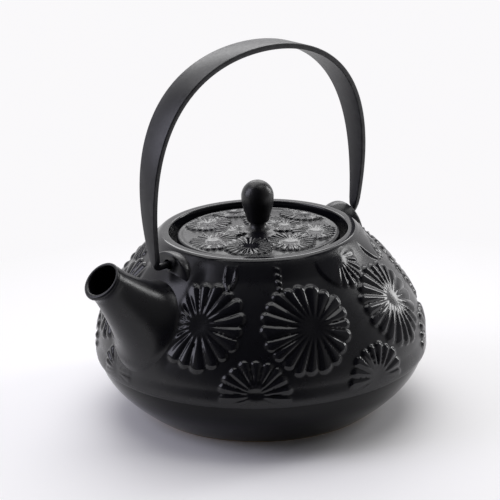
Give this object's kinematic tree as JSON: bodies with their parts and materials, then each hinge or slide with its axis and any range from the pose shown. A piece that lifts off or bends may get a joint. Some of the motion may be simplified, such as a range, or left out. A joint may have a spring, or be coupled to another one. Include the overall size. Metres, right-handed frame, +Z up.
{
  "type": "teapot",
  "caption": "Squat black stoneware teapot with a chrysanthemum relief, sunken lid, short spout, folding steel bail handle and lift-out steel infuser.",
  "frame": {"origin": "the pot's axis at the level of the foot ring's resting face", "axes": "+Z up along the pot's axis, +X towards the spout, the bail's pivot line runs along X"},
  "size_m": [0.1797, 0.1599, 0.175],
  "materials": {
    "glaze": "semi-matte black glaze with a blue-grey sheen, paler where it breaks over the crests of the relief",
    "knob_glaze": "satin black glaze, smooth",
    "bail_paint": "satin black lacquer on flat steel strap",
    "steel": "brushed stainless steel sheet with drain holes"
  },
  "bodies": {
    "pot": {"pot_body": "glaze", "spout": "glaze", "front_lug": "glaze", "rear_lug": "glaze"},
    "bail_handle": {"bail": "bail_paint"},
    "infuser": {"infuser_rim": "steel", "infuser_wall": "steel", "infuser_base": "steel"},
    "lid_group": {"lid": "glaze", "lid_knob": "knob_glaze"}
  },
  "joints": [
    {"name": "bail_swing", "type": "hinge", "parent": "pot", "child": "bail_handle", "pos_m": [0, 0, 0.081], "axis": [1, 0, 0], "range_deg": [-113, 113]},
    {"name": "infuser_lift", "type": "slide", "parent": "pot", "child": "infuser", "axis": [0, 0, 1], "range_m": [0, 0.025]},
    {"name": "lid_lift", "type": "slide", "parent": "infuser", "child": "lid_group", "axis": [0, 0, 1], "range_m": [0, 0.032]}
  ]
}
